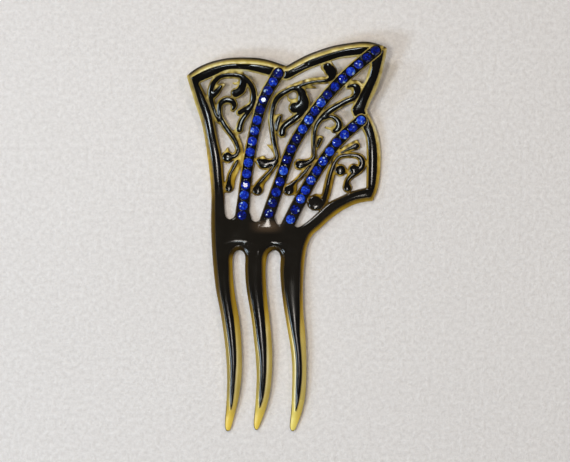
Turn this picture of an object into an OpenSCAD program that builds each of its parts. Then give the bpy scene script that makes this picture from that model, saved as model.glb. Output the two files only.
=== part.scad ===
/* [Sheet] */
// Thickness of the translucent amber sheet
amber_t = 2.2; // [1.8:0.1:3]
// Thickness of the black sheet laid on it
black_t = 1.0; // [0.6:0.1:1.2]
// Glue line left between the two sheets
glue_gap = 0.05; // [0.03:0.01:0.1]

/* [Curve] */
// Radius of the crown's upward bend, on its underside
crown_r = 155; // [130:5:220]
// Radius of the prongs' arch, on its underside
prong_r = 400; // [300:10:600]
// Place along the fork of the line that it rests on
rest_y = 18; // [14:1:24]

/* [Stones] */
// Diameter of a stone at its girdle
stone_d = 3.2; // [2.8:0.1:3.4]
// Diameter of the table on top of a stone
table_d = 1.7; // [1.4:0.1:2]
// Depth of the point below the girdle
stone_depth = 1.15; // [0.9:0.05:1.3]
// Height of the table above the girdle
stone_crown = 0.5; // [0.3:0.05:0.6]
// Room between a stone and the wall of its seat
seat_room = 0.08; // [0.05:0.01:0.15]

/* [Outline] */
// Amber line left bare beside a black scroll
scroll_rim = 0.6; // [0.4:0.05:0.8]
// Amber line left bare beside a row of stones
ray_rim = 0.45; // [0.35:0.05:0.6]
// Amber line between two black pieces that meet
black_gap = 0.35; // [0.25:0.05:0.5]

/* [Hidden] */

amber = "goldenrod";
black = [0.09, 0.08, 0.08];
blue = "royalblue";

total_t = amber_t + black_t;
// The tables below are read in plan from a middle point, and this one is the middle of the outline
plan_middle = [0.05, 0.35];
tip_y = -72.4;
top_y = 73.1;
// Half the width of the block that the bent sheet is cut from
half_block = 45;
// Tall enough for the whole bent fork
cut_height = 40;
// Slits narrower than twice this are closed in the black pieces
heal = 0.08;
// The same in the amber, with fills that stay this little inside the shape elsewhere
slit_half = 0.25;
fill_inset = 0.02;
// What a plan shape grows by as its pieces are made one
merge_grow = 0.01;
// Over this line the rays part the bands, and under it they run into them
crown_line = 30;
// Height over the sheet that the seats are cut up to
seat_over = 3;

// The crown's arc and the prongs' arc meet where both lean by this angle, with the tips on the ground
bend_sum = crown_r + prong_r;
lean = (rest_y - tip_y) / (bend_sum + sqrt(bend_sum * prong_r)) * 180 / PI;

// OUTLINE OF THE FORK, anticlockwise from the left corner of the crown.
// Columns: x, y, width of the amber rim beside the black there
LEFT_SIDE = [
  [-37.3, 60.5, 1.5], [-35.6, 55, 1.4], [-33.9, 49.5, 1.4], [-32.3, 44.8, 1.4], [-31.1, 40, 1.25],
  [-29.8, 32, 1.4], [-28.7, 23.5, 1.4], [-28.15, 16, 1.4], [-28.3, 5, 1.6], [-27.8, -6, 1.6],
  [-26.6, -18.2, 1.6], [-24.8, -27.5, 1.35], [-23.5, -36, 1.35], [-22.6, -44.5, 1.45], [-22.25, -52, 1.3],
  [-22.4, -59.5, 1.2], [-22.75, -64.9, 1.95]];
LEFT_TIP = [[-22.75, -64.9, 1.95], [-23.05, -68.6, 3], [-23.05, -70.8, 3], [-22.7, -72, 3], [-22, -72.4, 3],
  [-21.2, -72, 3], [-20.6, -70.4, 3], [-19.1, -64.9, 1.75]];
LEFT_PRONG_IN = [
  [-19.1, -64.9, 1.75], [-17.8, -59.4, 2.0], [-16.85, -52, 2.3], [-16.7, -45, 2.1], [-17, -37, 2.1],
  [-17.8, -29.7, 2.0], [-18.9, -23.6, 1.9], [-19.8, -17.2, 1.8], [-20.15, -11, 1.6], [-20.1, -7.6, 1.7]];
LEFT_ARCH = [[-20.1, -7.6, 1.7], [-19.6, -6, 1.7], [-18.9, -5, 1.7], [-17.8, -4.55, 1.8], [-16.5, -5, 1.3],
  [-15.7, -6.1, 1.2], [-15.45, -7.6, 1.2]];
MIDDLE_PRONG_OUT = [
  [-15.45, -7.6, 1.2], [-15.5, -12.5, 1.2], [-15.1, -18.2, 1.2], [-14.1, -24.4, 1.2], [-13, -31, 1.15],
  [-12.2, -37.9, 1.2], [-11.5, -45, 1.45], [-11.2, -52, 1.35], [-11.5, -59.4, 1.25], [-11.85, -64.2, 1.8]];
MIDDLE_TIP = [[-11.85, -64.2, 1.8], [-12.25, -68.5, 3], [-12.15, -70.9, 3], [-11.4, -72.05, 3],
  [-10.5, -71.2, 3], [-9.6, -69, 3], [-7.8, -64.2, 2.25]];
MIDDLE_PRONG_IN = [
  [-7.8, -64.2, 2.25], [-6.5, -59.4, 2.1], [-5.55, -52.5, 2.2], [-5.3, -45, 2.2], [-5.6, -37.9, 2.0],
  [-6.4, -29.7, 1.75], [-7.2, -23, 1.6], [-7.7, -16, 1.6], [-7.75, -11, 1.65], [-7.4, -7.6, 1.9]];
RIGHT_ARCH = [[-7.4, -7.6, 1.9], [-6.7, -5.9, 1.9], [-5.6, -4.9, 1.8], [-4.4, -4.6, 1.6], [-3.1, -5.2, 1.6],
  [-2.4, -6.4, 1.6], [-2.2, -7.9, 1.6]];
RIGHT_PRONG_OUT = [
  [-2.2, -7.9, 1.55], [-2.4, -12.5, 1.45], [-2, -18.2, 1.3], [-1.3, -24, 1.3], [-0.4, -29.7, 1.35],
  [0.5, -35, 1.4], [1.5, -41, 1.5], [2.05, -46.5, 1.5], [2.15, -52, 1.45], [2, -59.4, 1.35],
  [1.65, -65.6, 1.8]];
RIGHT_TIP = [[1.65, -65.6, 1.8], [1.3, -69.5, 3], [1.3, -71.3, 3], [2.1, -72.4, 3], [3.1, -71.9, 3],
  [4.2, -69.4, 3], [5.6, -65.6, 2.2]];
RIGHT_PRONG_IN = [
  [5.6, -65.6, 2.2], [7, -59.4, 2.05], [7.45, -52, 1.75], [7.45, -45, 1.8], [7.1, -36, 2.1],
  [6.4, -28.5, 1.4], [6.2, -21, 1.3], [6.35, -14.5, 1.3], [6.8, -8.6, 1.5], [7.7, -3.2, 1.5],
  [9.6, 0.9, 1.6], [12.5, 3.5, 1.6], [15.6, 6.4, 1.6], [19, 9.1, 1.7], [22.5, 11.2, 1.7],
  [26, 12.8, 1.6], [30, 13.65, 1.5], [32.2, 13.8, 1.4]];
RIGHT_SIDE = [
  [32.2, 13.8, 1.3], [33.9, 17.5, 1.3], [34.9, 22.5, 1.3], [35.3, 28, 1.4], [35.2, 33, 1.4],
  [34.4, 37.8, 1.3], [33, 42.2, 1.1], [30.8, 46.2, 1.0], [30.1, 47.7, 1.0]];
PEAK_RIGHT_SIDE = [
  [30.1, 47.7, 1.0], [31.2, 50.4, 1.2], [33.5, 55, 1.5], [35.3, 60, 1.3], [36.5, 65, 1.2],
  [37.2, 68.6, 1.2], [37.4, 70.9, 1.2]];
PEAK_TOP = [
  [37.4, 70.9, 1.2], [35, 72, 1.8], [31.5, 72.95, 2], [27.5, 73.1, 2.1], [22.5, 72.5, 2.1],
  [17.5, 71.6, 2.3], [12.5, 70.1, 2.3], [7.5, 68.2, 2.2], [3.2, 66, 2.2], [0, 64.2, 2]];
ARCH_TOP = [
  [0, 64.2, 2], [-2.6, 65.1, 2.1], [-7, 66.45, 2.4], [-11.5, 67.2, 2.5], [-17.5, 67.35, 2.4],
  [-22.5, 67, 2.3], [-27.5, 65.9, 2.2], [-32, 64.2, 2.2], [-35.2, 62.3, 2], [-37.3, 60.5, 1.5]];

// WINDOW OF THE CROWN, the hole inside its bands before rays and scrolls cross it, clockwise.
// Columns: x, y, width of the amber rim beside the black there
WINDOW_ARM = [[29.85, 18.95, 0.7], [25, 17.7, 0.7], [20, 15.5, 0.7], [15.3, 13.1, 0.6], [11.7, 9.6, 0.5],
  [8.4, 6.7, 0.35], [5.6, 4.6, 0.2]];
WINDOW_FOOT = [[5.6, 4.6, 0.2], [4.2, 4.1, 0.2], [3, 4.6, 0.2], [2, 6.6, 0.2], [0.4, 8.8, 0.2],
  [-0.7, 7.2, 0.2], [-1.4, 5.6, 0.2], [-2.7, 5, 0.2], [-3.9, 5.7, 0.2], [-4.5, 8, 0.2], [-6.8, 11, 0.2],
  [-9.1, 9, 0.2], [-10, 6.9, 0.2], [-11.5, 6.1, 0.2], [-13, 6.9, 0.2], [-13.6, 9.2, 0.2],
  [-16.4, 12, 0.2], [-18.9, 9.6, 0.2], [-19.6, 7.9, 0.2], [-21.1, 7.1, 0.2]];
WINDOW_LEFT = [[-21.1, 7.1, 0.2], [-22.6, 7.8, 0.2], [-23.1, 10.5, 0.25], [-23.1, 16, 0.6],
  [-23.4, 23, 0.9], [-24.0, 30, 0.9], [-25.2, 35.5, 0.9], [-26.4, 41.5, 0.9], [-27.3, 46.5, 0.9],
  [-29, 51.3, 1], [-32.2, 57.9, 0.8]];
WINDOW_ARCH = [[-32.2, 57.9, 0.5], [-29.5, 59.1, 0.5], [-26, 60.5, 0.6], [-22.5, 62, 0.7],
  [-19, 62.45, 0.6], [-14, 62.1, 0.6], [-9, 60.9, 0.6], [-4, 59.6, 0.6]];
WINDOW_PEAK = [[-4, 59.6, 0.6], [0, 58.8, 0.6], [3, 60.1, 0.6], [7, 62.2, 0.7], [11.5, 64.1, 0.5],
  [15.6, 65.5, 0.5], [19.5, 66.8, 0.5], [24, 67.3, 0.7], [29.5, 68, 0.6]];
WINDOW_TIP = [[29.5, 68, 0.6], [31.1, 64.8, 0.8], [30.4, 62.2, 1], [29.9, 60, 0.9], [28.6, 57.2, 0.7],
  [27.2, 54.3, 0.6], [25.6, 51, 0.6], [24, 48.2, 0.6], [24.8, 45.6, 0.6]];
WINDOW_RIGHT = [[24.8, 45.6, 0.6], [28, 41, 0.7], [29.6, 37.6, 0.6], [30, 33, 0.6], [30, 27, 0.7],
  [29.85, 18.95, 0.7]];

// RAYS, each a black channel for a row of stones.
// Columns: x, y of a stone, width of the channel there, number of steps to the next row's stone
RAY_LEFT = [[-3.1, 61.4, 4.1, 3], [-8.6, 51.7, 3.8, 3], [-11.9, 40.1, 3.6, 3], [-14.3, 28.2, 3.8, 3],
  [-15.8, 16.1, 4, 2], [-16.6, 8.5, 4.6, 0]];
RAY_MIDDLE = [[33.1, 69.7, 4, 3], [23.9, 62.1, 4.1, 3], [15.4, 53.5, 3.9, 3], [8.3, 44.2, 3.9, 3],
  [1.8, 33.3, 3.8, 3], [-2.5, 21.1, 4, 3], [-6.6, 9.2, 4.2, 0]];
RAY_RIGHT = [[27.8, 44, 4, 3], [18.8, 35.7, 3.8, 3], [11.4, 25.2, 3.9, 3], [5.3, 14.6, 4.1, 2],
  [1.5, 7, 4.2, 0]];
// How far a ray's middle line runs on past its first and its last stone
ray_head = 0.2;
ray_foot = 3.2;

// SCROLLS, each a stroke of changing width, with round ends.
// Columns: x, y, width of the black line
OUTER_LEFT_STROKES = [
  [[-25.4, 43.7, 0.9], [-27, 47.6, 1.2], [-28.4, 53.2, 1.6], [-27.4, 57.6, 1.7], [-24.5, 60.3, 1.4],
   [-20, 60.8, 1.4], [-15.7, 59.8, 1.5], [-12.8, 56.2, 1.7], [-12.3, 51.9, 1.8], [-13.9, 47.9, 1.6],
   [-16.7, 44, 1.6], [-17.7, 40.6, 2.1]],
  [[-16.2, 59.8, 2.2], [-16.2, 57.6, 2.5], [-17, 55.4, 2.9], [-18.6, 54, 2.5]],
  [[-27.6, 53.1, 1.9], [-26, 54.8, 1.9], [-24.5, 56.6, 1.1]],
  [[-20.1, 48, 0.7], [-19.5, 49.5, 1.6], [-20.3, 51.1, 1.9], [-22.5, 51.6, 2], [-24.6, 50.4, 1.8],
   [-25.1, 48, 1.4], [-24.7, 45, 1.4], [-22.4, 41, 1.6], [-19.7, 37.4, 1.5], [-18.1, 33.4, 1.3],
   [-19, 30.9, 1.4], [-21.3, 30.2, 2.0]],
  [[-13.3, 49.6, 1.3], [-15.6, 48, 1.8], [-17.6, 46.9, 1.6]],
  [[-18.4, 28.9, 0.9], [-19.2, 27.3, 1.2], [-20.2, 25.6, 1], [-21.2, 23.6, 1], [-21.6, 21, 1.4],
   [-21.6, 18.7, 2.6]]];
OUTER_LEFT_BALLS = [[-22.1, 30.3, 1.8], [-18.9, 54.1, 1.5]];
OUTER_LEFT_WEBS = [
  [[-26.2, 61.3, 1.4], [-21, 62.3, 1.6], [-16.8, 61.9, 1.8]],
  [[-17.9, 58.2, 0.9], [-19.1, 57.6, 0.9], [-20, 57.9, 0.6]],
  [[-24.6, 57, 1.7], [-23.4, 57.2, 1.4]],
  [[-19.4, 40, 1.2], [-17.7, 36.4, 1.4], [-16.8, 32.4, 1.4], [-17.2, 28.6, 1.7], [-18.6, 25.6, 1.8],
   [-19.7, 22.6, 1.5], [-20.1, 18.6, 1.1]],
  [[-22.3, 32, 1.5], [-22, 33.6, 0.9]],
  [[-27.3, 43, 1], [-28.3, 46.5, 1.2], [-29.4, 50, 1.2]],
  [[-22.6, 20, 2.4], [-22.8, 18, 2.4]]];

INNER_LEFT_STROKES = [
  [[15.5, 63.9, 2.7], [16.2, 62.7, 3.8], [16.9, 60.9, 3.3], [16.2, 59.3, 1.7], [14, 58.6, 1],
   [11, 58.4, 0.9], [8, 57.8, 1], [4, 56.4, 1.2], [0.4, 55, 1.5], [-2.5, 53.3, 1.8], [-4.2, 51.2, 1.6],
   [-5.2, 48, 1.4], [-5.7, 44.4, 1.3], [-5.2, 39.8, 1.3], [-4.5, 35.2, 1.3], [-3.7, 31.6, 1.3],
   [-3.7, 29.5, 1.5], [-6.1, 28, 2.6], [-8.7, 27.9, 3.7], [-10.4, 29, 1.6]],
  [[14.3, 64.2, 1.2], [14.5, 63.3, 1.5]],
  [[0.6, 55.3, 1.3], [2.4, 55.9, 1.4], [4.4, 55.6, 2.1], [5.8, 54, 3]],
  [[5.6, 55, 2.1], [5.9, 53.2, 3.1], [6.3, 51, 4.1], [6, 49.2, 4.3]],
  [[6, 49.3, 3.8], [4.6, 48.9, 4.2], [3.1, 48.6, 3.6]],
  [[7.2, 49, 1.6], [5, 46.2, 2], [2.1, 44, 2.2], [-0.4, 42.2, 2.2], [-1.5, 40.6, 2.2], [-1.7, 39.1, 2.3]],
  [[-3.8, 40.3, 0.9], [-3.4, 43.1, 1.7], [-2.5, 45.3, 1.3]],
  [[-3.4, 28.6, 0.9], [-5.9, 25.4, 1], [-8.6, 22.4, 1.1], [-10.7, 20, 1.4], [-10.9, 18.3, 3]]];
INNER_LEFT_BALLS = [[-10.9, 18, 1.7], [3.1, 48.7, 1.9]];
INNER_LEFT_WEBS = [
  [[14.4, 59.8, 1.1], [11, 59.5, 1.1], [8, 59, 1.1], [4, 57.7, 1.1], [0.6, 56.3, 1]],
  [[13.9, 64.9, 1.8], [16.6, 64.9, 1.8]],
  [[13.3, 64.6, 1.2], [13.3, 63.2, 1], [14.4, 62.2, 0.8]],
  [[4.9, 55.9, 1.4], [8, 56.5, 1.4], [10.9, 56.2, 0.7]],
  [[0.5, 54.4, 0.6], [0.5, 52.6, 0.7], [1.4, 51.4, 1.3], [3.2, 51.4, 1.4], [4.4, 52.4, 1]],
  [[-4.9, 32.2, 0.8], [-5.8, 33.9, 1], [-7, 34.8, 0.7]],
  [[-3.8, 45.6, 1.2], [-2.2, 45.8, 1.2]],
  [[-5, 25.4, 1], [-7.4, 22.5, 1.7], [-9, 20.4, 1.7], [-9, 17.6, 1]],
  [[-9.6, 30.3, 0.8], [-8.4, 30.5, 0.9]],
  [[-12.5, 19, 1.4], [-12.7, 17.4, 1.4]]];

INNER_RIGHT_STROKES = [
  [[22.9, 56.4, 0.8], [24.6, 56.9, 1.3], [26.3, 56.1, 2.6], [26.2, 53.8, 2.2], [24.9, 52.2, 1.8],
   [22.3, 51.1, 1.8], [19, 49.3, 1.9], [16, 47.4, 2], [13.3, 45.1, 1.8], [11.2, 42.2, 1.4],
   [10.4, 39, 1.2], [10.3, 35, 1.1], [10.3, 32, 1.1], [9.9, 29.7, 1.3], [8, 28.3, 1.9], [5.4, 27.5, 3]],
  [[14.1, 44.7, 1], [16.4, 45.4, 1], [18.5, 44.6, 1.6], [19.7, 42.6, 2.1], [19, 40.7, 2.2],
   [17.7, 40.2, 1]],
  [[12.6, 37, 1.3], [12.1, 35.8, 1.4], [11.4, 34, 0.7]],
  [[8.8, 27, 0.8], [6.4, 24.2, 1.2], [4.2, 21.9, 0.9], [2.1, 20, 1.3], [0.9, 18.4, 3]]];
INNER_RIGHT_BALLS = [[4.9, 27.5, 1.6], [0.9, 18, 1.75]];
INNER_RIGHT_WEBS = [
  [[24.5, 51.5, 1.2], [25.9, 50.2, 1.2]],
  [[24.2, 58.4, 1.2], [26.4, 58.3, 1.3], [28, 57.2, 1.3]],
  [[24, 55.7, 0.6], [24.8, 54.6, 0.8], [24.2, 53.2, 0.9]],
  [[15.2, 46.2, 1], [17.2, 46.6, 1]],
  [[14.6, 41.4, 0.9], [16.4, 40.9, 0.9], [17.6, 41.6, 0.9]],
  [[12.2, 38, 1], [13.6, 37.7, 1]],
  [[3.6, 21, 1], [3.2, 18, 1.3], [2.6, 16.2, 0.9]],
  [[-0.9, 19, 1.3], [-1.2, 17.4, 1.2]]];

OUTER_RIGHT_STROKES = [
  [[12.3, 11.8, 1.9], [13.7, 13.8, 1.6], [14.9, 17.3, 1.4], [15.8, 21.4, 1.4], [16.9, 25.6, 1.4],
   [18.2, 28.5, 1.2], [19.8, 30.4, 1.1], [22.6, 31, 1.1], [26, 30.9, 1.3], [28, 29.7, 1.8],
   [28.3, 27.3, 2.2], [26.7, 25.2, 2.1], [24.2, 23.2, 1.5], [22.8, 21.4, 1.3], [22.6, 19.9, 1.9],
   [22.8, 18.8, 2.6]],
  [[20.4, 31.9, 0.5], [22.6, 33, 0.9], [24.6, 33.9, 1.5], [26.2, 34.5, 2]]];
OUTER_RIGHT_BALLS = [[20.2, 25.4, 1.8], [25.2, 25.8, 1.6], [10.7, 13.2, 2.5]];
OUTER_RIGHT_WEBS = [
  [[19.6, 32.3, 1.2], [22.6, 34, 1.8], [26.2, 36, 1.6]],
  [[13.5, 15, 1.4], [14.2, 18.5, 1.2], [15, 22, 1.2], [16, 25.5, 1.2]],
  [[15.2, 13.8, 1], [16, 17, 1.4], [17, 21, 1.3], [17.7, 24, 1.1]],
  [[21.8, 25.4, 1.6], [23.4, 24.4, 1.6]],
  [[12.8, 16, 0.8], [10.6, 16.3, 0.8]]];

// Columns by name
X = 0;
Y = 1;
W = 2;
STEPS = 3;

// Catmull-Rom curve through the rows of a table, every column alike, with n steps between two rows
function curve_point(a, b, c, d, t) =
  0.5 * (2 * b + (c - a) * t + (2 * a - 5 * b + 4 * c - d) * t * t + (3 * b - a - 3 * c + d) * t * t * t);
function row(rows, i) =
  i < 0 ? 2 * rows[0] - rows[1]
  : i >= len(rows) ? 2 * rows[len(rows) - 1] - rows[len(rows) - 2]
  : rows[i];
function smooth(rows, n) = concat(
  [for (i = [0 : len(rows) - 2], k = [0 : n - 1])
    curve_point(row(rows, i - 1), rows[i], rows[i + 1], row(rows, i + 2), k / n)],
  [rows[len(rows) - 1]]);

// Unit vector to the left of a line of points, at point i
function left_of(points, i) =
  let (a = points[max(i - 1, 0)], b = points[min(i + 1, len(points) - 1)],
       d = [b[X] - a[X], b[Y] - a[Y]])
  [-d[Y], d[X]] / norm(d);
function plan(p) = [p[X], p[Y]];
function flat(points) = [for (p = points) plan(p)];

// Steps between two rows of a table: on the outer edges, on the window's, and on the strokes'
edge_steps = 3;
window_steps = 2;
line_steps = 3;
// Tables or edges joined into one: each ends with the row that the next one starts with
function joined(edges) = [for (e = edges, i = [0 : len(e) - 2]) e[i]];
last_edge = [RIGHT_PRONG_IN[len(RIGHT_PRONG_IN) - 1]];
PRONGS = concat(joined([LEFT_SIDE, LEFT_TIP, LEFT_PRONG_IN, LEFT_ARCH,
                        MIDDLE_PRONG_OUT, MIDDLE_TIP, MIDDLE_PRONG_IN, RIGHT_ARCH,
                        RIGHT_PRONG_OUT, RIGHT_TIP, RIGHT_PRONG_IN]), last_edge);
EDGES = [for (e = [PRONGS, RIGHT_SIDE, PEAK_RIGHT_SIDE, PEAK_TOP, ARCH_TOP]) smooth(e, edge_steps)];
outline = flat(joined(EDGES));

WINDOW_LOWER = concat(joined([WINDOW_ARM, WINDOW_FOOT]), WINDOW_LEFT);
WINDOW_EDGES = [for (e = [WINDOW_LOWER, WINDOW_ARCH, WINDOW_PEAK, WINDOW_TIP, WINDOW_RIGHT])
  smooth(e, window_steps)];
window = flat(joined(WINDOW_EDGES));

// Places of the stones of a ray, each with the width of the ray there
function ray_stones(rows) = concat(
  [for (i = [0 : len(rows) - 2], k = [0 : rows[i][STEPS] - 1])
    curve_point(row(rows, i - 1), rows[i], rows[i + 1], row(rows, i + 2), k / rows[i][STEPS])],
  [rows[len(rows) - 1]]);
function run_on(from, to, way) =
  let (d = plan(to) - plan(from), p = plan(to) + way * d / norm(d)) [p[X], p[Y], to[W]];
function ray_line(rows) =
  let (s = ray_stones(rows), n = len(s))
  concat([run_on(s[1], s[0], ray_head)], s, [run_on(s[n - 2], s[n - 1], ray_foot)]);

// A stroke in plan: one four-sided piece between each two points, and a round piece at each end
module stroke(points, grow = 0, last_end = true) {
  for (i = [0 : len(points) - 2])
    let (a = points[i], b = points[i + 1],
         na = left_of(points, i) * (a[W] / 2 + grow), nb = left_of(points, i + 1) * (b[W] / 2 + grow))
    polygon([plan(a) + na, plan(a) - na, plan(b) - nb, plan(b) + nb]);
  for (p = last_end ? [points[0], points[len(points) - 1]] : [points[0]])
    translate(plan(p)) circle(r = p[W] / 2 + grow, $fn = 16);
}
module strokes(tables, grow = 0) {
  for (rows = tables) stroke(smooth(rows, line_steps), grow);
}
module balls(rows, grow = 0) {
  for (b = rows) translate(plan(b)) circle(r = b[W] + grow, $fn = 24);
}
module rays(grow = 0) {
  for (rows = [RAY_LEFT, RAY_MIDDLE, RAY_RIGHT]) stroke(ray_line(rows), grow, false);
}

// The amber rim along the outline and the window: a strip as wide as each row says
module rims() {
  past_edge = 0.5;
  for (edge = concat(EDGES, WINDOW_EDGES)) {
    for (i = [0 : len(edge) - 2])
      let (a = edge[i], b = edge[i + 1], na = left_of(edge, i), nb = left_of(edge, i + 1))
      polygon([plan(a) - past_edge * na, plan(b) - past_edge * nb,
               plan(b) + b[W] * nb, plan(a) + a[W] * na]);
    translate(plan(edge[0])) circle(r = past_edge, $fn = 16);
  }
  // The strips leave a wedge at each corner where the sheet is cut back
  for (corner = concat([PEAK_RIGHT_SIDE[0], ARCH_TOP[0]], [for (e = WINDOW_EDGES) e[0]]))
    translate(plan(corner)) circle(r = corner[W], $fn = 24);
}
// Plan shapes of the black pieces, with hair-thin slits closed
module healed() {
  offset(delta = -heal) offset(delta = heal) children();
}
module black_bands() {
  difference() {
    polygon(outline);
    polygon(window);
    rims();
  }
}
module right_of_line(a, b) {
  far = 200;
  d = (b - a) / norm(b - a);
  n = [d[Y], -d[X]];
  polygon([a - far * d, b + far * d, b + far * (d + n), a + far * (n - d)]);
}
// The middle ray and the cusp and notch beside it part the two peaks from the rest
cusp_line = [[-6.6, 60], [1.6, 66]];
notch_line = [[24, 44.6], [36, 48.2]];
peaks_corner = [-10, 40];
// Both peaks are parted by the middle ray, along this line
parting_line = [[-4, 40], [40, 74]];
module peaks_plan() healed() {
  intersection() {
    difference() {
      black_bands();
      offset(delta = ray_rim) rays();
    }
    right_of_line(notch_line[1], notch_line[0]);
    right_of_line(cusp_line[0], cusp_line[1]);
    translate(peaks_corner) square(2 * half_block);
  }
}
module frame_plan() healed() {
  difference() {
    union() {
      difference() {
        black_bands();
        intersection() {
          offset(delta = ray_rim) rays();
          translate([-half_block, crown_line]) square(2 * half_block);
        }
      }
      intersection() {
        rays();
        offset(delta = -ray_rim) polygon(outline);
      }
    }
    offset(delta = black_gap) peaks_plan();
  }
}
module scroll_plan(strokes_table, balls_table) healed() {
  difference() {
    union() {
      strokes(strokes_table);
      balls(balls_table);
    }
    offset(delta = black_gap) {
      frame_plan();
      peaks_plan();
    }
  }
}
module scroll_amber(strokes_table, balls_table, webs_table) {
  strokes(strokes_table, scroll_rim);
  balls(balls_table, scroll_rim);
  strokes(webs_table);
}
module without_slits() {
  children();
  offset(delta = -slit_half - fill_inset) offset(r = slit_half, $fn = 12) children();
}
module amber_plan() without_slits() {
  difference() {
    polygon(outline);
    polygon(window);
  }
  intersection() {
    union() {
      rays(ray_rim);
      scroll_amber(OUTER_LEFT_STROKES, OUTER_LEFT_BALLS, OUTER_LEFT_WEBS);
      scroll_amber(INNER_LEFT_STROKES, INNER_LEFT_BALLS, INNER_LEFT_WEBS);
      scroll_amber(INNER_RIGHT_STROKES, INNER_RIGHT_BALLS, INNER_RIGHT_WEBS);
      scroll_amber(OUTER_RIGHT_STROKES, OUTER_RIGHT_BALLS, OUTER_RIGHT_WEBS);
    }
    polygon(outline);
  }
}

// Side view of the bent sheet between two heights over its underside, seen with Y to the right.
// Each point stands square to a centre line that leans by the given angle there.
crown_centre = [rest_y, crown_r];
prong_centre = crown_centre - bend_sum * [sin(lean), cos(lean)];
past_end = 4;
tip_lean = asin((prong_centre[X] - tip_y + past_end) / prong_r);
top_lean = asin((top_y + past_end - rest_y) / crown_r);
// Flats that each arc is made of
crown_flats = 26;
prong_flats = 14;
function side_line(h) = concat(
  [for (i = [0 : prong_flats - 1])
    let (a = tip_lean - (tip_lean + lean) * i / prong_flats)
    prong_centre + (prong_r + h) * [-sin(a), cos(a)]],
  [for (i = [0 : crown_flats])
    let (a = -lean + (top_lean + lean) * i / crown_flats)
    crown_centre + (crown_r - h) * [sin(a), -cos(a)]]);
function reversed(list) = [for (i = [len(list) - 1 : -1 : 0]) list[i]];
module bent_side(low, high) {
  polygon(concat(side_line(low), reversed(side_line(high))));
}
// A plan shape cut out of the bent sheet
module cut_sheet(low, high) {
  translate([-plan_middle[X], -plan_middle[Y], 0]) intersection() {
    translate([0, 0, -1]) linear_extrude(cut_height)
      offset(delta = merge_grow) children();
    rotate([90, 0, 90]) translate([0, 0, -half_block]) linear_extrude(2 * half_block)
      bent_side(low, high);
  }
}

// Where a stone sits: on the bent sheet at this height over its underside, leaning with it
function slope_at(y) =
  y > rest_y - crown_r * sin(lean)
    ? asin((y - rest_y) / crown_r)
    : -asin((y - rest_y + bend_sum * sin(lean)) / prong_r);
function foot_at(y) =
  y > rest_y - crown_r * sin(lean)
    ? crown_r * (1 - cos(slope_at(y)))
    : bend_sum * (1 - cos(lean)) - prong_r * (1 - cos(slope_at(y)));
module on_sheet(p, h) {
  lean_here = slope_at(p[Y]);
  translate([p[X] - plan_middle[X], p[Y] - plan_middle[Y], foot_at(p[Y]) + h / cos(lean_here)])
    rotate([lean_here, 0, 0]) children();
}
girdle_h = total_t + 0.1;
module seats(rows) {
  seat_depth = stone_depth + seat_room;
  for (p = ray_stones(rows)) on_sheet(p, girdle_h)
    translate([0, 0, -seat_depth])
      cylinder(d = stone_d + 2 * seat_room, h = seat_depth + seat_over, $fn = 32);
}
module all_seats() {
  seats(RAY_LEFT);
  seats(RAY_MIDDLE);
  seats(RAY_RIGHT);
}

// A round cut stone, with its girdle at z = 0: eight-sided table, star and bezel facets,
// sixteen pavilion facets
module cut_stone() {
  r = stone_d / 2;
  rt = table_d / 2;
  girdle = 0.06;
  // Where the star facets meet the lower crown facets, as shares of the way out and of the height
  star_share = 0.55;
  star_height = 0.62;
  mid_r = rt + star_share * (r - rt);
  mid_z = star_height * stone_crown;
  function ring(n, radius, z, turn = 0) =
    [for (i = [0 : n - 1]) let (a = 360 * (i + turn) / n) [radius * cos(a), radius * sin(a), z]];
  points = concat(ring(8, rt, stone_crown), ring(8, mid_r, mid_z, 0.5), ring(16, r, girdle),
                  ring(16, r, -girdle), [[0, 0, -stone_depth]]);
  table = [for (i = [7 : -1 : 0]) i];
  stars = [for (i = [0 : 7]) [i, (i + 1) % 8, 8 + i]];
  bezels = [for (i = [0 : 7]) each [[i, 8 + i, 16 + 2 * i], [i, 16 + 2 * i, 8 + (i + 7) % 8]]];
  uppers = [for (i = [0 : 7]) each
    [[8 + i, 17 + 2 * i, 16 + 2 * i], [8 + i, 16 + (2 * i + 2) % 16, 17 + 2 * i]]];
  edge = [for (i = [0 : 15]) [16 + i, 16 + (i + 1) % 16, 32 + (i + 1) % 16, 32 + i]];
  pavilion = [for (i = [0 : 15]) [32 + i, 32 + (i + 1) % 16, 48]];
  polyhedron(points, concat([table], stars, bezels, uppers, edge, pavilion));
}
module stone_row(rows) {
  color(blue) for (p = ray_stones(rows)) on_sheet(p, girdle_h) cut_stone();
}

module amber_base() {
  color(amber) difference() {
    cut_sheet(0, amber_t) amber_plan();
    all_seats();
  }
}
module black_frame() {
  color(black) difference() {
    cut_sheet(amber_t + glue_gap, total_t) frame_plan();
    all_seats();
  }
}
module peak(side) {
  color(black) cut_sheet(amber_t + glue_gap, total_t) intersection() {
    peaks_plan();
    if (side == "left") right_of_line(parting_line[0], parting_line[1]);
    else right_of_line(parting_line[1], parting_line[0]);
  }
}
module scroll(strokes_table, balls_table) {
  color(black) cut_sheet(amber_t + glue_gap, total_t) scroll_plan(strokes_table, balls_table);
}

amber_base();
black_frame();
peak("left");  // black_peak_left
peak("right");  // black_peak_right
scroll(OUTER_LEFT_STROKES, OUTER_LEFT_BALLS);  // scroll_outer_left
scroll(INNER_LEFT_STROKES, INNER_LEFT_BALLS);  // scroll_inner_left
scroll(INNER_RIGHT_STROKES, INNER_RIGHT_BALLS);  // scroll_inner_right
scroll(OUTER_RIGHT_STROKES, OUTER_RIGHT_BALLS);  // scroll_outer_right
stone_row(RAY_LEFT);  // stones_left
stone_row(RAY_MIDDLE);  // stones_middle
stone_row(RAY_RIGHT);  // stones_right
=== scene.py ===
"""A fan-crowned hair fork of amber and black sheet, set with blue stones, lying on pale paper."""

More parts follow.
